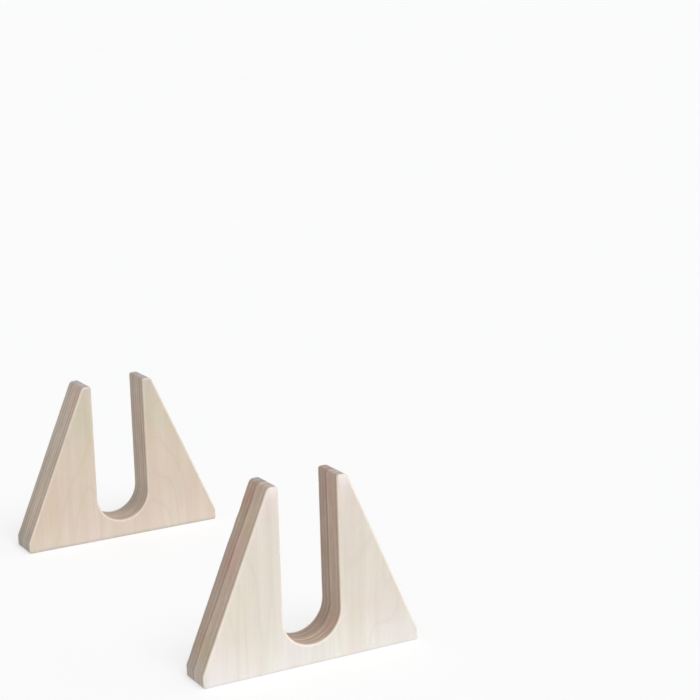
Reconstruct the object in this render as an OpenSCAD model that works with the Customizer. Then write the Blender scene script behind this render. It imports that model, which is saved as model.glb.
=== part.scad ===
// Laptop stand made of two identical upright plywood supports. Each has a
// tapered outline and a slot with a round bottom, open at the top.
//
// Frame: +Z up, the origin on the ground midway between the supports.
// +X runs along the slots, from the left support to the right one, and
// +Y runs across each support. Millimetres.

/* [Plate] */
// Thickness of the plywood sheet
sheet_t = 18; // [12:0.5:24]
// Height from the ground to the flat tops
plate_h = 82; // [60:1:110]
// From each slot wall out to the upright nose at the foot
foot_reach = 38; // [26:1:60]
// Height of the upright nose at the foot, below the slope
nose_h = 5.5; // [4:0.5:12]
// Width of the flat top on each side of the slot
top_flat = 4.8; // [4:0.1:10]

/* [Slot] */
// Width of the slot between its upright walls
slot_w = 28; // [20:1:40]
// Solid wood left under the round bottom of the slot
slot_floor = 9; // [6:1:20]

/* [Edges] */
// Radius of the outline's corners
corner_r = 1.2; // [0.8:0.1:1.6]
// Radius where each slope turns over into the flat top
top_r = 2.5; // [1:0.1:2.8]
// Width of the sanded arris where the edges meet the faces
arris = 0.6; // [0.3:0.1:0.7]

/* [Pair] */
// Distance between the middle planes of the two supports
spacing = 207; // [60:1:320]

/* [Quality] */
// Segments in a full circle
facets = 96; // [32:8:192]

/* [Hidden] */
$fn = facets;

veneer = [0.89, 0.85, 0.78];      // pale birch face

slot_r = slot_w / 2;
slot_z = slot_floor + slot_r;     // axis of the round slot bottom
half_l = slot_r + foot_reach;     // half the length along the ground
half_top = slot_r + top_flat;     // outer corner of the flat top
over = 1;                         // cutters run this far past the wood
lift = 0.1;                       // corner cutters start this far above it
shy = 0.002;                      // and stop this short, so as to cross the flat ones

// The outer outline before the slot is cut, anticlockwise, as [y, z]
outer = [
    [-half_l, 0], [half_l, 0], [half_l, nose_h],
    [half_top, plate_h], [-half_top, plate_h], [-half_l, nose_h]
];

// The outline with the slot's upright walls, down to the height at which
// the round bottom starts
walled = [
    [-half_l, 0], [half_l, 0], [half_l, nose_h],
    [half_top, plate_h], [slot_r, plate_h],
    [slot_r, slot_z], [-slot_r, slot_z],
    [-slot_r, plate_h], [-half_top, plate_h], [-half_l, nose_h]
];

// Unit vector from a to b
function unit(a, b) = (b - a) / norm(b - a);

// Corner i of a closed outline is eased by an arc of radius r that touches
// both of its sides: how far the arc starts from the corner, and its centre
function turn(p, i) = let (n = len(p), u = unit(p[i], p[(i + n - 1) % n]), v = unit(p[i], p[(i + 1) % n])) acos(u * v);
function set_back(p, i, r) = r / tan(turn(p, i) / 2);
function arc_centre(p, i, r) = let (
        n = len(p),
        u = unit(p[i], p[(i + n - 1) % n]),
        v = unit(p[i], p[(i + 1) % n]),
        m = (u + v) / norm(u + v)
    ) p[i] + m * r / sin(turn(p, i) / 2);

// The corners of the walled outline that are eased: all but the two at
// which the round bottom starts. Where a slope meets the top, the radius
// is larger.
eased = [0, 1, 2, 3, 4, 7, 8, 9];
function is_eased(i) = len(search(i, eased)) > 0;
function ease_r(i) = i == 3 || i == 8 ? top_r : corner_r;

// The outline with each eased corner cut straight between its tangent points
function blunted(p) = [
    for (i = [0 : len(p) - 1])
        let (n = len(p), u = unit(p[i], p[(i + n - 1) % n]), v = unit(p[i], p[(i + 1) % n]), s = set_back(p, i, ease_r(i)))
        for (q = is_eased(i) ? [p[i] + u * s, p[i] + v * s] : [p[i]]) q
];

// The flat shape that is cut from the sheet
module profile() {
    difference() {
        union() {
            polygon(blunted(walled));
            for (i = eased)
                translate(arc_centre(walled, i, ease_r(i))) circle(r = ease_r(i));
        }
        translate([0, slot_z])
            intersection() {
                circle(r = slot_r);
                translate([-slot_w, -slot_w]) square([2 * slot_w, slot_w]);
            }
    }
}

// A prism that takes the 45 degree arris off one side of the outline, from
// a to b, at the face that is at height t
module side_arris(a, b, t) {
    run = norm(b - a);
    translate([a[0], a[1], t])
        rotate([0, 0, atan2(b[1] - a[1], b[0] - a[0])])
            rotate([90, 0, 90])
                translate([0, 0, -over])
                    linear_extrude(run + 2 * over)
                        polygon([[arris + over, over], [-over, over], [-over, -arris - over]]);
}

// A ring that takes the same arris off eased corner i of the walled
// outline, from the direction its first side faces to that of its second
module corner_arris(i) {
    p = walled;
    n = len(p);
    r = ease_r(i);
    u = unit(p[i], p[(i + n - 1) % n]);
    translate(arc_centre(p, i, r))
        rotate([0, 0, atan2(u[0], -u[1])])
            rotate_extrude(angle = 180 - turn(p, i))
                translate([shy, 0])
                    polygon([[r + over, -arris - over], [r + over, lift], [r - arris - lift, lift]]);
}

// The section that takes the arris off the slot: wood lies beyond slot_r
module slot_flare_section() {
    polygon([
        [slot_r - over, -arris - over], [slot_r + arris + over, over],
        [slot_r - over, over]
    ]);
}

// The flare along one face of the slot: half a turn at the bottom and a
// straight run up each wall
module slot_flare() {
    rise = plate_h - slot_z + over;
    translate([0, slot_z, 0]) {
        rotate([0, 0, 180]) rotate_extrude(angle = 180) slot_flare_section();
        for (side = [0, 1])
            mirror([side, 0, 0])
                rotate([-90, 0, 0])
                    linear_extrude(rise)
                        mirror([0, 1]) slot_flare_section();
    }
}

// All the arrises of one face, for the face at height 0 and wood below it
module face_arrises() {
    for (i = [0 : len(outer) - 1])
        side_arris(outer[i], outer[(i + 1) % len(outer)], 0);
    for (i = eased) corner_arris(i);
    slot_flare();
}

// One support, lying flat: the profile on XY, its thickness along Z
module flat_support() {
    difference() {
        linear_extrude(sheet_t) profile();
        translate([0, 0, sheet_t]) face_arrises();
        mirror([0, 0, 1]) face_arrises();
    }
}

// One support, standing on the ground with its middle plane at x
module support(x) {
    translate([x - sheet_t / 2, 0, 0]) rotate([90, 0, 90]) flat_support();
}

module left_support() {
    color(veneer) support(-spacing / 2);
}

module right_support() {
    color(veneer) support(spacing / 2);
}

left_support();
right_support();
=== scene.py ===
import math

import bmesh
import bpy
from mathutils import Matrix, Vector, geometry, noise


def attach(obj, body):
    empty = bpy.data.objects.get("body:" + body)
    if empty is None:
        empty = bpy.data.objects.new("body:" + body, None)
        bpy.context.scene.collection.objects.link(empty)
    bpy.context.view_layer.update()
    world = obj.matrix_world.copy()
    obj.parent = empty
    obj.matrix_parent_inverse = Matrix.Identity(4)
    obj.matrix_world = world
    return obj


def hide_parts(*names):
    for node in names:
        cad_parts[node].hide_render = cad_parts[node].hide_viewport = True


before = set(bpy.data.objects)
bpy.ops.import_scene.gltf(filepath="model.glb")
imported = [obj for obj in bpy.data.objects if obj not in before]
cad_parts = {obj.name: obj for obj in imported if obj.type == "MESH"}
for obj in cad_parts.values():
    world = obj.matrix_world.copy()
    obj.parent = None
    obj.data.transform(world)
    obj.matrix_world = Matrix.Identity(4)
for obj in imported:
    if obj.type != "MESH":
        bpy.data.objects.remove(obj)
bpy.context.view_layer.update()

scene = bpy.context.scene
scene.view_settings.view_transform = "Standard"
scene.view_settings.look = "None"
scene.view_settings.exposure = 0.0
scene.view_settings.gamma = 1.0

MM = 0.001

# ---------------------------------------------------------------- camera
# Millimetres in the row frame, pixels of a 700 x 700 picture.
CAM_AT = (816.4, -366.2, 321.9)
CAM_YAW, CAM_PITCH, CAM_ROLL = 61.133, 13.067, -1.604   # degrees
CAM_F = 1971.3


def make_camera():
    yaw, pitch, roll = (math.radians(a) for a in (CAM_YAW, CAM_PITCH, CAM_ROLL))
    d = Vector((-math.sin(yaw) * math.cos(pitch), math.cos(yaw) * math.cos(pitch), -math.sin(pitch)))
    r = d.cross(Vector((0, 0, 1))).normalized()
    u = r.cross(d)
    r2 = r * math.cos(roll) + u * math.sin(roll)
    u2 = u * math.cos(roll) - r * math.sin(roll)
    data = bpy.data.cameras.new("camera")
    data.sensor_width = 36.0
    data.lens = CAM_F / 700.0 * 36.0
    data.clip_start = 0.01
    data.clip_end = 100.0
    cam = bpy.data.objects.new("camera", data)
    scene.collection.objects.link(cam)
    m = Matrix((r2, u2, -d)).transposed().to_4x4()
    m.translation = Vector(CAM_AT) * MM
    cam.matrix_world = m
    scene.camera = cam


make_camera()

# ---------------------------------------------------------------- sizes, mm
SHEET = 18.0
HEIGHT = 82.0
REACH = 38.0
NOSE = 5.5
FLAT = 4.8
SLOT_R = 14.0
SLOT_Z = 23.0
CORNER = 1.2
TOP_CORNER = 2.5        # where each slope turns over into the flat top
VENEER = 1.3            # what sanding left of the two outer plies
INNER = 11              # plies between them
PLY = (SHEET - 2 * VENEER) / INNER
HALF = SHEET / 2


def smooth(t):
    t = min(max(t, 0.0), 1.0)
    return t * t * (3 - 2 * t)


# ---------------------------------------------------------------- outline
def outline(step=1.0, corner_step=0.32, bowl_steps=64):
    """The closed outline, anticlockwise in (y, z), as (point, outward normal, whether it lies on an eased corner)."""
    hl, ht = SLOT_R + REACH, SLOT_R + FLAT
    knots = [(-hl, 0), (hl, 0), (hl, NOSE), (ht, HEIGHT), (SLOT_R, HEIGHT), (SLOT_R, SLOT_Z),
             (-SLOT_R, SLOT_Z), (-SLOT_R, HEIGHT), (-ht, HEIGHT), (-hl, NOSE)]
    sharp = {5, 6}
    knots = [Vector(k) for k in knots]
    n = len(knots)
    starts, ends, arcs, radii = {}, {}, {}, {}
    for i, p in enumerate(knots):
        if i in sharp:
            starts[i] = ends[i] = p
            continue
        u = (knots[i - 1] - p).normalized()
        v = (knots[(i + 1) % n] - p).normalized()
        turn = math.acos(max(-1, min(1, u.dot(v))))
        radii[i] = TOP_CORNER if i in (3, 8) else CORNER
        back = radii[i] / math.tan(turn / 2)
        centre = p + (u + v).normalized() * (radii[i] / math.sin(turn / 2))
        starts[i], ends[i], arcs[i] = p + u * back, p + v * back, centre
    pts = []

    def straight(a, b):
        d = b - a
        nrm = Vector((d.y, -d.x)).normalized()
        k = max(1, round(d.length / step))
        for j in range(k):
            pts.append((a.lerp(b, j / k), nrm, False))

    for i in range(n):
        if i in arcs:
            a0, a1, c, r = starts[i] - arcs[i], ends[i] - arcs[i], arcs[i], radii[i]
            t0, t1 = math.atan2(a0.y, a0.x), math.atan2(a1.y, a1.x)
            while t1 < t0:
                t1 += 2 * math.pi
            k = max(3, round((t1 - t0) * r / corner_step))
            for j in range(k):
                t = t0 + (t1 - t0) * j / k
                nrm = Vector((math.cos(t), math.sin(t)))
                pts.append((c + nrm * r, nrm, True))
        if i == 5:
            c = Vector((0, SLOT_Z))
            for j in range(bowl_steps):
                t = -math.pi * j / bowl_steps
                out = Vector((math.cos(t), math.sin(t)))
                pts.append((c + out * SLOT_R, -out, False))
            continue
        straight(ends[i], starts[(i + 1) % n])
    return pts


def build_support(name, centre_x, seed, worn=()):
    """One support as one closed mesh: sanded round arrises, plies just felt on the sawn edges. worn lists
    places where an arris is rubbed down further, as (side, y, z, reach, extra radius)."""
    ring = outline()
    n = len(ring)
    steps = 8
    # Through the thickness, from the -X face to the +X face: (kind, value)
    rows = [("face", -1.0)]
    rows += [("arris", -1.0, math.pi / 2 * k / steps) for k in range(steps + 1)]
    for j in range(INNER + 1):
        x = -HALF + VENEER + PLY * j
        for dx in (-0.09, 0.0, 0.09):
            rows.append(("edge", x + dx))
        if j < INNER:
            rows.append(("edge", x + PLY / 2))
    rows += [("arris", 1.0, math.pi / 2 * k / steps) for k in range(steps, -1, -1)]
    rows.append(("face", 1.0))

    tight = [Vector(k) for k in ((-SLOT_R - REACH, 0), (SLOT_R + REACH, 0), (SLOT_R + REACH, NOSE),
                                 (-SLOT_R - REACH, NOSE), (SLOT_R, HEIGHT), (-SLOT_R, HEIGHT))]

    def arris_size(side, p):
        """How deep the sanded arris is along the edge, and how wide along the face, in mm."""
        v = noise.noise(Vector((p.x * 0.045, p.y * 0.045, seed * 7.3 + side * 2.1)))
        w = noise.noise(Vector((p.x * 0.22, p.y * 0.22, seed * 3.1 + side * 5.7)))
        deep = 0.93 + 0.14 * v + 0.10 * w
        for at, y, z, reach, extra in worn:
            if at == side:
                deep += extra * (1 - smooth((p - Vector((y, z))).length / reach))
        free = smooth((min((p - k).length for k in tight) - 1.2) / 4.0)
        return deep, (1 - free) * min(deep, 0.95) + free * deep * 1.5

    def eased(size, deep):
        """How far the arris lies inside the edge, at this depth from the face."""
        return size[1] * (1 - math.sqrt(1 - (1 - deep / size[0]) ** 2)) if deep < size[0] else 0.0

    def felt(x, p, nrm):
        """How far the edge lies below its true plane here, in mm: never proud of it."""
        t = x + HALF
        u = (t - VENEER) / PLY
        idx = math.floor(u + 1e-6)
        near = abs(u - round(u)) * PLY
        glue = 0.018 * (1 - smooth(near / 0.09)) if -0.5 < u < INNER + 0.5 else 0.0
        flat_ply = 0 <= idx < INNER and idx % 2 == 0
        across = abs(nrm.x) if flat_ply else abs(nrm.y)
        low = 0.014 * smooth((across - 0.3) / 0.6) * smooth(near / 0.12)
        wave = 0.008 * (0.5 + 0.5 * noise.noise(Vector((x * 0.9, p.x * 0.5, p.y * 0.5 + seed * 11))))
        return glue + low + wave

    verts = []
    for row in rows:
        for p, nrm, corner in ring:
            if row[0] == "face":
                x, inset = row[1] * HALF, arris_size(row[1], p)[1] + (0.12 if corner else 0.30)
            elif row[0] == "arris":
                side, th = row[1], row[2]
                size = arris_size(side, p)
                deep = min(size[0], VENEER - 0.15) * (1 - math.cos(th))
                x = side * (HALF - deep)
                inset = eased(size, deep) + 0.006 * smooth(th / (math.pi / 2))
            else:
                x = row[1]
                inset = max(felt(x, p, nrm), eased(arris_size(math.copysign(1.0, x), p), HALF - abs(x)))
            q = p - nrm * inset
            verts.append((centre_x + x, q.x, q.y))
    faces = []
    m = len(rows)
    for r in range(m - 1):
        for k in range(n):
            a, b = r * n + k, r * n + (k + 1) % n
            faces.append((a, b, b + n, a + n))
    # The two faces: the outline filled with an even net of triangles
    for side, base in ((-1, 0), (1, (m - 1) * n)):
        loop = [Vector((verts[base + k][1], verts[base + k][2])) for k in range(n)]
        inner = []
        grid = 4.0
        j = 0
        z = 2.5
        while z < HEIGHT:
            y = -(SLOT_R + REACH) + (grid / 2 if j % 2 else 0.0)
            while y < SLOT_R + REACH:
                q = Vector((y, z))
                if inside(loop, q) and min((q - p).length for p in loop) > 1.8:
                    inner.append(q)
                y += grid
            z += grid * 0.866
            j += 1
        edges = [(k, (k + 1) % n) for k in range(n)]
        out = geometry.delaunay_2d_cdt(loop + inner, edges, [], 1, 1e-7)
        back = {}
        for new, olds in enumerate(out[3]):
            old = min(olds)
            if old < n:
                back[new] = base + old
            else:
                back[new] = len(verts)
                verts.append((centre_x + side * HALF, out[0][new].x, out[0][new].y))
        for f in out[2]:
            tri = [back[i] for i in f]
            faces.append(tuple(tri))
    me = bpy.data.meshes.new(name)
    me.from_pydata([(x * MM, y * MM, z * MM) for x, y, z in verts], [], faces)
    me.validate()
    bm = bmesh.new()
    bm.from_mesh(me)
    bmesh.ops.recalc_face_normals(bm, faces=bm.faces)
    bm.to_mesh(me)
    bm.free()
    me.shade_smooth()
    ob = bpy.data.objects.new(name, me)
    scene.collection.objects.link(ob)
    return ob


def inside(loop, q):
    c = False
    j = len(loop) - 1
    for i in range(len(loop)):
        a, b = loop[i], loop[j]
        if (a.y > q.y) != (b.y > q.y) and q.x < (b.x - a.x) * (q.y - a.y) / (b.y - a.y) + a.x:
            c = not c
        j = i
    return c


# ---------------------------------------------------------------- materials
class Nodes:
    """Short calls that add shader nodes. A number or colour goes to a socket's own value, and a socket is linked."""

    def __init__(self, tree):
        self.t = tree
        self.i = 0

    def add(self, kind, **props):
        node = self.t.nodes.new(kind)
        node.location = (self.i % 12 * 190, -(self.i // 12) * 260)
        self.i += 1
        for k, v in props.items():
            setattr(node, k, v)
        return node

    def put(self, socket, value):
        if isinstance(value, bpy.types.NodeSocket):
            self.t.links.new(value, socket)
        else:
            socket.default_value = value

    def math(self, op, a, b=None, c=None, clamp=False):
        node = self.add("ShaderNodeMath", operation=op, use_clamp=clamp)
        for s, v in zip(node.inputs, (a, b, c)):
            if v is not None:
                self.put(s, v)
        return node.outputs[0]

    def vec(self, op, a, b=None, scale=None):
        node = self.add("ShaderNodeVectorMath", operation=op)
        self.put(node.inputs[0], a)
        if b is not None:
            self.put(node.inputs[1], b)
        if scale is not None:
            self.put(node.inputs["Scale"], scale)
        return node.outputs["Value"] if op in ("DOT_PRODUCT", "LENGTH", "DISTANCE") else node.outputs["Vector"]

    def combine(self, x, y, z):
        node = self.add("ShaderNodeCombineXYZ")
        for s, v in zip(node.inputs, (x, y, z)):
            self.put(s, v)
        return node.outputs[0]

    def noise(self, vector, scale, detail=2.0, rough=0.5, distortion=0.0):
        node = self.add("ShaderNodeTexNoise", noise_dimensions="3D")
        self.put(node.inputs["Vector"], vector)
        node.inputs["Scale"].default_value = scale
        node.inputs["Detail"].default_value = detail
        node.inputs["Roughness"].default_value = rough
        node.inputs["Distortion"].default_value = distortion
        return node.outputs[0]

    def remap(self, value, lo, hi, to_lo=0.0, to_hi=1.0, kind="SMOOTHSTEP"):
        node = self.add("ShaderNodeMapRange", interpolation_type=kind, clamp=True)
        self.put(node.inputs[0], value)
        for s, v in zip(node.inputs[1:5], (lo, hi, to_lo, to_hi)):
            s.default_value = v
        return node.outputs[0]

    def mix(self, factor, a, b, blend="MIX"):
        node = self.add("ShaderNodeMix", data_type="RGBA", blend_type=blend, clamp_factor=True)
        self.put(node.inputs[0], factor)
        for s, v in ((node.inputs[6], a), (node.inputs[7], b)):
            self.put(s, v if isinstance(v, bpy.types.NodeSocket) else (*v, 1.0))
        return node.outputs[2]

    def mixf(self, factor, a, b):
        node = self.add("ShaderNodeMix", data_type="FLOAT", clamp_factor=True)
        self.put(node.inputs[0], factor)
        self.put(node.inputs[2], a)
        self.put(node.inputs[3], b)
        return node.outputs[0]

    def mixv(self, factor, a, b):
        node = self.add("ShaderNodeMix", data_type="VECTOR", factor_mode="UNIFORM", clamp_factor=True)
        self.put(node.inputs[0], factor)
        self.put(node.inputs[4], a)
        self.put(node.inputs[5], b)
        return node.outputs[1]


def scaled(colour, k):
    return tuple(c * k for c in colour)


def birch(name, centre_x, seed, face, face_deep, long_grain, end_grain, glue, halves, tones, patches,
          low, painted_foot_light, painted_light_bands, nose, painted_top_light, painted_contact_shade, pale_and_highlight):
    """Birch plywood as a solid: 13 plies stacked along X, fibres upright in the faces and every other ply.

    tones makes single plies lighter or darker, as (ply, share). patches tints the wood about a point, as
    (x, y, z, reach across, reach along, colour); one of them is a painted shade. The rest multiply colours: low
    and painted_foot_light are painted light from the bright floor, lighter towards the bottom of the faces,
    painted_light_bands are painted light and shade above a height, as (from, to, colour), nose tints those
    edges and painted_top_light is a painted reflection on the tops, painted_contact_shade is painted shade
    where the edges and the faces meet the floor, and pale_and_highlight is paler sanded wood with a painted
    highlight on the arrises, low and high up."""
    mat = bpy.data.materials.new(name)
    mat.use_nodes = True
    nt = mat.node_tree
    nt.nodes.clear()
    g = Nodes(nt)
    here = g.add("ShaderNodeTexCoord").outputs["Object"]
    mm = g.vec("SCALE", here, scale=1000.0)
    local = g.vec("SUBTRACT", mm, (centre_x, 0.0, 0.0))
    sep = g.add("ShaderNodeSeparateXYZ")
    g.put(sep.inputs[0], local)
    x, y, z = sep.outputs
    normal = g.add("ShaderNodeNewGeometry").outputs["Normal"]
    nsep = g.add("ShaderNodeSeparateXYZ")
    g.put(nsep.inputs[0], normal)
    nx, ny, nz = (g.math("ABSOLUTE", s) for s in nsep.outputs)
    white = (1.0, 1.0, 1.0)

    def tint(colour, how_much, by):
        return g.mix(1.0, colour, g.mix(how_much, white, by), "MULTIPLY")

    # Which ply: the boundaries wander a little, and not at all at the faces
    far = g.math("DIVIDE", x, HALF)
    hold = g.math("SUBTRACT", 1.0, g.math("POWER", g.math("ABSOLUTE", far), 3.0), clamp=True)
    wander = g.math("SUBTRACT", g.noise(g.vec("ADD", local, (seed * 31.0, 0.0, seed * 9.0)), 0.035, 2.0, 0.5), 0.5)
    t = g.math("ADD", g.math("ADD", x, HALF), g.math("MULTIPLY", g.math("MULTIPLY", wander, 1.0), hold))
    u = g.math("DIVIDE", g.math("SUBTRACT", t, VENEER), PLY)
    idx = g.math("MAXIMUM", g.math("MINIMUM", g.math("FLOOR", u), float(INNER)), -1.0)
    upright = g.math("FLOORED_MODULO", idx, 2.0)          # 1 where the fibres stand upright
    frac = g.math("SUBTRACT", u, g.math("FLOOR", u))
    to_line = g.math("MULTIPLY", g.math("MINIMUM", frac, g.math("SUBTRACT", 1.0, frac)), PLY)
    inner_line = g.math("MULTIPLY", g.math("GREATER_THAN", u, 0.5), g.math("LESS_THAN", u, INNER - 0.5))
    pick = g.add("ShaderNodeTexWhiteNoise", noise_dimensions="1D")
    g.put(pick.inputs["W"], g.math("ADD", idx, seed * 5.11 + 40.0))
    pick = pick.outputs[0]

    # Fibre direction: coordinates stretched along Z or along Y, bent by a slow drift, and shifted from ply to ply
    drift = g.math("SUBTRACT", g.noise(g.combine(g.math("MULTIPLY", idx, 5.3), g.math("MULTIPLY", y, 0.020),
                                                 g.math("MULTIPLY", z, 0.014)), 1.0, 2.0, 0.45), 0.5)
    bend = g.math("MULTIPLY", drift, 9.0)
    lean = g.math("MULTIPLY", g.math("SUBTRACT", pick, 0.5), 0.07)
    yv = g.math("ADD", g.math("ADD", y, bend), g.math("MULTIPLY", z, lean))
    zh = g.math("ADD", g.math("ADD", z, bend), g.math("MULTIPLY", y, lean))
    up_v = g.combine(x, yv, g.math("MULTIPLY", z, 0.035))
    up_h = g.combine(x, g.math("MULTIPLY", y, 0.035), zh)
    shift = g.math("MULTIPLY", g.math("ADD", idx, seed * 3.0), 41.7)
    fib = g.vec("ADD", g.mixv(upright, up_h, up_v), g.combine(shift, g.math("MULTIPLY", shift, 0.37), shift))

    broad = g.noise(fib, 0.16, 3.0, 0.55, 0.3)
    streak = g.noise(fib, 0.75, 4.0, 0.6, 0.2)
    fine = g.noise(fib, 3.2, 3.0, 0.65)
    pores = g.remap(g.noise(fib, 7.5, 1.0, 0.5), 0.60, 0.74)

    # Rotary-cut figure: the contour lines of a slow field, long along the fibres
    field = g.noise(g.combine(g.math("ADD", shift, 3.0), g.math("MULTIPLY", yv, 0.030),
                              g.math("MULTIPLY", z, 0.0085)), 1.0, 1.5, 0.4)
    ring_s = g.math("SINE", g.math("MULTIPLY", field, 72.0))
    ring_m = g.remap(ring_s, 0.25, 1.0)
    late = g.remap(ring_s, 0.90, 1.0)

    # ---- the faces
    face_col = g.mix(g.remap(broad, 0.28, 0.74), face, face_deep)
    face_col = g.mix(g.math("MULTIPLY", ring_m, 0.22), face_col, face_deep)
    face_col = g.mix(g.math("MULTIPLY", late, 0.18), face_col, scaled(face_deep, 0.86))
    face_col = g.mix(g.math("MULTIPLY", g.remap(streak, 0.44, 0.75), 0.32), face_col, scaled(face_deep, 0.92))
    face_col = g.mix(g.math("MULTIPLY", g.remap(fine, 0.35, 0.75), 0.24), face_col, scaled(face_deep, 0.89))
    face_col = g.mix(g.math("MULTIPLY", pores, 0.24), face_col, scaled(face_deep, 0.72))
    # Slow clouds, a little pinker and a little yellower
    cloud = g.vec("MULTIPLY", g.vec("ADD", local, (seed * 57.0, seed * 23.0, 0.0)), (0.3, 1.0, 0.6))
    face_col = tint(face_col, g.remap(g.noise(cloud, 0.055, 2.0, 0.5), 0.42, 0.66), (1.010, 0.972, 0.985))
    face_col = tint(face_col, g.remap(g.noise(cloud, 0.085, 2.0, 0.5), 0.46, 0.70), (0.990, 1.000, 0.945))
    # Painted light: the faces lighter and cooler towards the bottom, as if lit by the bright floor
    face_col = tint(face_col, g.remap(z, 0.0, 46.0, 1.0, 0.0), low)
    face_col = tint(face_col, g.remap(z, 0.5, 24.0, 1.0, 0.0), painted_foot_light)
    # Painted light and shade in bands by height on the faces
    for z0, z1, by in painted_light_bands:
        face_col = tint(face_col, g.remap(z, z0, z1), by)
    # Painted contact shade along the bottom of the faces
    face_col = tint(face_col, g.remap(z, 0.3, 2.4, 1.0, 0.0), painted_contact_shade[1])

    # ---- the sawn edges: end grain is darker, and each ply has its own tone
    across = g.mixf(upright, ny, nz)
    ends = g.remap(across, 0.22, 0.92)
    edge_long = g.mix(g.remap(streak, 0.30, 0.72), long_grain, scaled(long_grain, 0.84))
    edge_end = g.mix(g.remap(fine, 0.30, 0.70), end_grain, scaled(end_grain, 0.82))
    edge = g.mix(ends, edge_long, edge_end)
    edge = g.mix(g.math("MULTIPLY", pores, 0.30), edge, scaled(end_grain, 0.60))
    edge = g.mix(0.22, edge, scaled(long_grain, 1.06))
    tone = g.math("MULTIPLY", g.math("SUBTRACT", pick, 0.5), 0.12)
    for ply, share in tones:
        tone = g.math("ADD", tone, g.math("MULTIPLY", g.math("COMPARE", idx, float(ply), 0.1), share))
    # Threads and longer streaks that follow the plies round every edge
    along = g.vec("MULTIPLY", g.vec("ADD", local, (seed * 19.0, seed * 71.0, 5.0)), (1.0, 0.11, 0.11))
    thread = g.math("SUBTRACT", g.noise(along, 1.25, 3.0, 0.65), 0.5)
    long_streak = g.math("SUBTRACT", g.noise(along, 0.42, 2.0, 0.5), 0.5)
    tone = g.math("ADD", tone, g.math("ADD", g.math("MULTIPLY", thread, 0.42), g.math("MULTIPLY", long_streak, 0.30)))
    edge = g.vec("SCALE", edge, scale=g.math("ADD", 1.0, tone))
    # Slow patches, redder and more olive
    slow_at = g.vec("MULTIPLY", g.vec("ADD", local, (seed * 3.3, 11.0, seed * 13.0)), (1.3, 1.0, 1.0))
    edge = tint(edge, g.remap(g.noise(slow_at, 0.055, 2.0, 0.5), 0.48, 0.72), (1.02, 0.93, 0.93))
    edge = tint(edge, g.remap(g.noise(slow_at, 0.075, 2.0, 0.5), 0.50, 0.74), (0.99, 1.01, 0.92))
    # Tints about points: wood tone, and in one place on the far support a painted shade
    for px, py, pz, rx, ryz, by in patches:
        off = g.vec("DIVIDE", g.vec("SUBTRACT", local, (px, py, pz)), (rx, ryz, ryz))
        edge = tint(edge, g.remap(g.vec("LENGTH", off), 0.35, 1.25, 1.0, 0.0), by)
    # The saw left faint marks across the plies
    saw = g.noise(g.vec("MULTIPLY", local, (0.06, 1.0, 1.0)), 0.9, 3.0, 0.6)
    edge = g.mix(g.remap(saw, 0.42, 0.72, 0.0, 0.20), edge, scaled(end_grain, 0.90))
    line = g.math("MULTIPLY", g.remap(to_line, 0.03, 0.12, 1.0, 0.0), inner_line)
    broken = g.remap(g.noise(local, 0.30, 2.0, 0.6), 0.34, 0.66, 0.15, 1.0)
    edge = g.mix(g.math("MULTIPLY", g.math("MULTIPLY", line, broken), 0.50), edge, glue)
    # One half of the sheet is darker than the other
    edge = g.mix(1.0, edge, g.mix(g.remap(t, HALF - 1.6, HALF + 0.3), halves, white), "MULTIPLY")
    edge = tint(edge, g.remap(g.math("ABSOLUTE", y), SLOT_R + REACH - 3.5, SLOT_R + REACH - 0.6), nose)
    # Painted reflection: the top flats lighter and bluer
    edge = tint(edge, g.math("MULTIPLY", g.remap(nz, 0.80, 0.97), g.remap(z, HEIGHT - 4.0, HEIGHT - 1.0)), painted_top_light)
    # Painted contact shade along the bottom of the edges, where they meet the floor
    edge = tint(edge, g.remap(z, 0.25, 1.3, 1.0, 0.0), painted_contact_shade[0])

    # The outer plies keep more of the face's colour where their edge shows
    sideways = g.remap(nx, 0.30, 0.80, 1.0, 0.0)
    outer = g.math("GREATER_THAN", g.math("ABSOLUTE", g.math("SUBTRACT", u, INNER / 2.0)), INNER / 2.0)
    how = g.math("MULTIPLY", sideways, g.mixf(outer, 1.0, 0.50))
    colour = g.mix(how, face_col, edge)

    # The sanded arrises are paler than the wood beside them, and partly carry a painted highlight; it stops along the
    # floor, where shade falls
    arris = g.math("MULTIPLY", g.remap(nx, 0.20, 0.52), g.remap(nx, 0.92, 0.997, 1.0, 0.0))
    arris = g.math("MULTIPLY", arris, g.remap(z, 1.0, 3.0))
    rubbed_and_highlit = g.remap(g.noise(local, 0.16, 3.0, 0.6), 0.25, 0.60, 0.50, 1.0)
    pale_highlight_col = g.mix(g.remap(z, 18.0, 36.0), tuple(a * b for a, b in zip(face, pale_and_highlight[0])),
                     tuple(a * b for a, b in zip(face, pale_and_highlight[1])))
    colour = g.mix(g.math("MULTIPLY", arris, rubbed_and_highlit), colour, pale_highlight_col)

    rough = g.math("ADD", g.mixf(how, 0.50, 0.66), g.math("MULTIPLY", g.math("SUBTRACT", streak, 0.5), 0.16))
    rough = g.math("ADD", rough, g.math("MULTIPLY", pores, 0.10))

    height = g.math("ADD", g.math("MULTIPLY", fine, 0.5), g.math("MULTIPLY", streak, 0.35))
    height = g.math("SUBTRACT", height, g.math("MULTIPLY", pores, 0.5))
    height = g.math("SUBTRACT", height, g.math("MULTIPLY", g.math("MULTIPLY", line, how), 0.7))
    height = g.math("SUBTRACT", height, g.math("MULTIPLY", g.math("MULTIPLY", saw, how), 0.5))
    height = g.math("MULTIPLY", height, g.mixf(how, 0.55, 1.0))
    bump = g.add("ShaderNodeBump")
    bump.inputs["Strength"].default_value = 0.35
    bump.inputs["Distance"].default_value = 0.00006
    g.put(bump.inputs["Height"], height)

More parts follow.
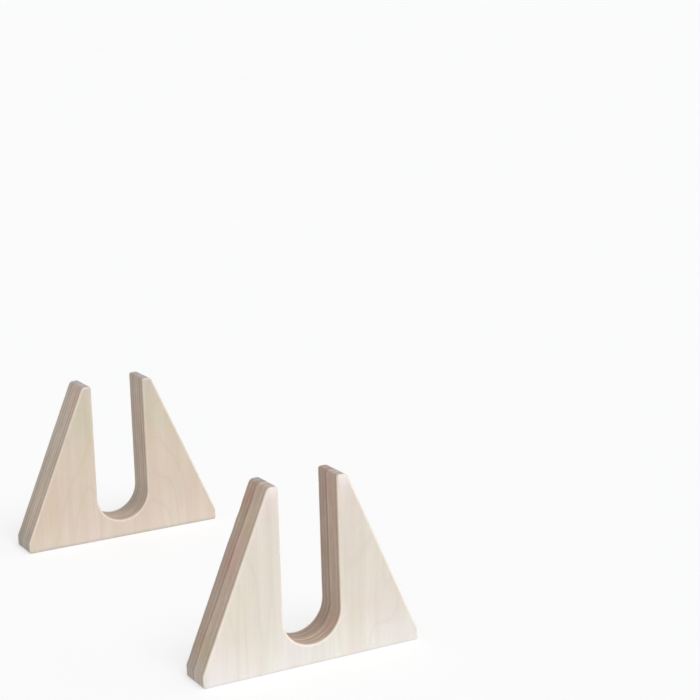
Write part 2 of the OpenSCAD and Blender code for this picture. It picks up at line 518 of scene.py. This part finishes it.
    shader = g.add("ShaderNodeBsdfPrincipled")
    g.put(shader.inputs["Base Color"], colour)
    g.put(shader.inputs["Roughness"], rough)
    g.put(shader.inputs["Normal"], bump.outputs[0])
    shader.inputs["IOR"].default_value = 1.45
    out = g.add("ShaderNodeOutputMaterial")
    nt.links.new(shader.outputs[0], out.inputs["Surface"])
    return mat


# The near (right) support's birch is paler and cooler than the far one's: partly its own veneer, partly painted light
# for the stronger light on the near support
right_wood = birch("birch_right", 103.5, 1.0,
                   face=(0.757, 0.694, 0.619), face_deep=(0.707, 0.635, 0.551),
                   long_grain=(0.600, 0.475, 0.385), end_grain=(0.500, 0.375, 0.295), glue=(0.270, 0.180, 0.125),
                   halves=(0.83, 0.82, 0.83),
                   tones=((0, -0.03), (3, -0.03), (4, -0.07), (6, 0.075), (7, -0.04), (8, 0.07), (10, -0.01)),
                   patches=((1.5, -29.0, 58.0, 3.5, 15.0, (1.10, 0.98, 1.01)),
                            (-2.6, -32.0, 51.0, 3.0, 15.0, (0.98, 0.88, 0.88)),
                            (-3.5, -22.5, 74.0, 4.0, 8.0, (0.98, 0.88, 0.85)),
                            (0.0, -26.0, 66.0, 12.0, 6.0, (0.98, 1.02, 0.90)),
                            (0.0, -47.0, 16.0, 12.0, 8.0, (0.97, 1.02, 0.93))),
                   low=(1.03, 1.06, 1.06), painted_foot_light=(1.055, 1.085, 1.16),
                   painted_light_bands=((68.0, 78.0, (1.04, 1.05, 1.10)), (76.0, 81.5, (1.12, 1.15, 1.17))),
                   nose=(0.99, 1.11, 1.16), painted_top_light=(1.02, 1.12, 1.22), painted_contact_shade=((0.66, 0.70, 0.72), (1.0, 1.01, 1.01)),
                   pale_and_highlight=((1.17, 1.15, 1.12), (1.10, 1.07, 1.01)))
left_wood = birch("birch_left", -103.5, 2.0,
                  face=(0.687, 0.584, 0.484), face_deep=(0.640, 0.528, 0.420),
                  long_grain=(0.600, 0.500, 0.410), end_grain=(0.500, 0.400, 0.320), glue=(0.270, 0.180, 0.125),
                  halves=(0.955, 0.99, 1.01),
                  tones=((1, -0.07), (2, -0.08), (5, 0.05), (6, 0.05), (8, -0.06), (10, -0.04)),
                  patches=((0.0, -47.0, 15.0, 12.0, 9.0, (1.01, 0.98, 0.96)),
                           (-5.0, -48.0, 14.0, 5.0, 12.0, (0.92, 0.93, 0.92)),
                           (-5.0, -28.0, 60.0, 6.0, 18.0, (1.04, 1.10, 1.10)),
                           # painted shade: a darker band low on the nose
                           (0.0, -52.0, 3.2, 16.0, 2.2, (0.92, 0.93, 0.93))),
                  low=(1.01, 1.01, 1.02), painted_foot_light=(1.05, 1.07, 1.10),
                  painted_light_bands=((48.0, 62.0, (0.925, 0.985, 0.950)), (70.0, 78.0, (1.01, 0.99, 1.08)),
                         (77.0, 81.0, (0.95, 0.98, 1.05))),
                  nose=(0.85, 0.93, 0.97), painted_top_light=(0.98, 1.05, 1.26), painted_contact_shade=((0.66, 0.70, 0.72), (0.85, 0.90, 0.92)),
                  pale_and_highlight=((1.13, 1.13, 1.14), (1.08, 1.08, 1.07)))

# ---------------------------------------------------------------- the supports
RUBBED = ((-1.0, -24.0, 69.0, 5.0, 0.55), (-1.0, -28.0, 61.0, 6.0, 0.40), (1.0, -48.0, 14.0, 4.0, 0.20),
          (-1.0, -50.0, 9.0, 4.0, 0.30))
for node, x, seed, mat, worn in (("right_support", 103.5, 1.0, right_wood, RUBBED),
                                 ("left_support", -103.5, 2.0, left_wood, ())):
    piece = build_support(node + "_plywood", x, seed, worn)
    piece.data.materials.append(mat)
    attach(piece, "root")
    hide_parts(node)

# ---------------------------------------------------------------- floor
def make_floor():
    me = bpy.data.meshes.new("floor")
    s = 14.0
    me.from_pydata([(-s, -s, -0.00002), (s, -s, -0.00002), (s, s, -0.00002), (-s, s, -0.00002)], [], [(0, 1, 2, 3)])
    ob = bpy.data.objects.new("floor", me)
    scene.collection.objects.link(ob)
    mat = bpy.data.materials.new("floor_white")
    mat.use_nodes = True
    g = Nodes(mat.node_tree)
    mat.node_tree.nodes.clear()
    mottle = g.noise(g.add("ShaderNodeTexCoord").outputs["Object"], 9.0, 2.0, 0.5)
    sh = g.add("ShaderNodeBsdfPrincipled")
    g.put(sh.inputs["Base Color"], g.mix(mottle, (0.43, 0.43, 0.43), (0.45, 0.45, 0.45)))
    sh.inputs["Roughness"].default_value = 0.8
    sh.inputs["Specular IOR Level"].default_value = 0.0
    sh.inputs["Emission Color"].default_value = (1.0, 1.0, 1.0, 1.0)
    sh.inputs["Emission Strength"].default_value = 0.56
    out = g.add("ShaderNodeOutputMaterial")
    mat.node_tree.links.new(sh.outputs[0], out.inputs["Surface"])
    me.materials.append(mat)


make_floor()


# ---------------------------------------------------------------- light
def sun(name, towards, strength, spread, colour=(1, 1, 1)):
    data = bpy.data.lights.new(name, "SUN")
    data.energy = strength
    data.angle = math.radians(spread)
    data.color = colour
    ob = bpy.data.objects.new(name, data)
    scene.collection.objects.link(ob)
    ob.rotation_euler = Vector(towards).to_track_quat("Z", "Y").to_euler()
    ob.location = Vector(towards).normalized() * 2.0


sun("key", (0.50, 0.08, 0.86), 1.60, 45.0)
sun("back", (0.50, 0.80, 0.30), 0.35, 60.0)

world = bpy.data.worlds.new("studio")
scene.world = world
world.use_nodes = True
wt = world.node_tree
wt.nodes.clear()
wg = Nodes(wt)
wsep = wg.add("ShaderNodeSeparateXYZ")
wg.put(wsep.inputs[0], wg.add("ShaderNodeTexCoord").outputs["Generated"])
glow = wg.remap(wsep.outputs[2], 0.06, 0.30, 1.0, 0.0)
sky = wg.mix(glow, (0.42, 0.425, 0.435), (0.96, 0.96, 0.96))
bg = wg.add("ShaderNodeBackground")
wg.put(bg.inputs["Color"], sky)
bg.inputs["Strength"].default_value = 1.0
wo = wg.add("ShaderNodeOutputWorld")
wt.links.new(bg.outputs[0], wo.inputs["Surface"])
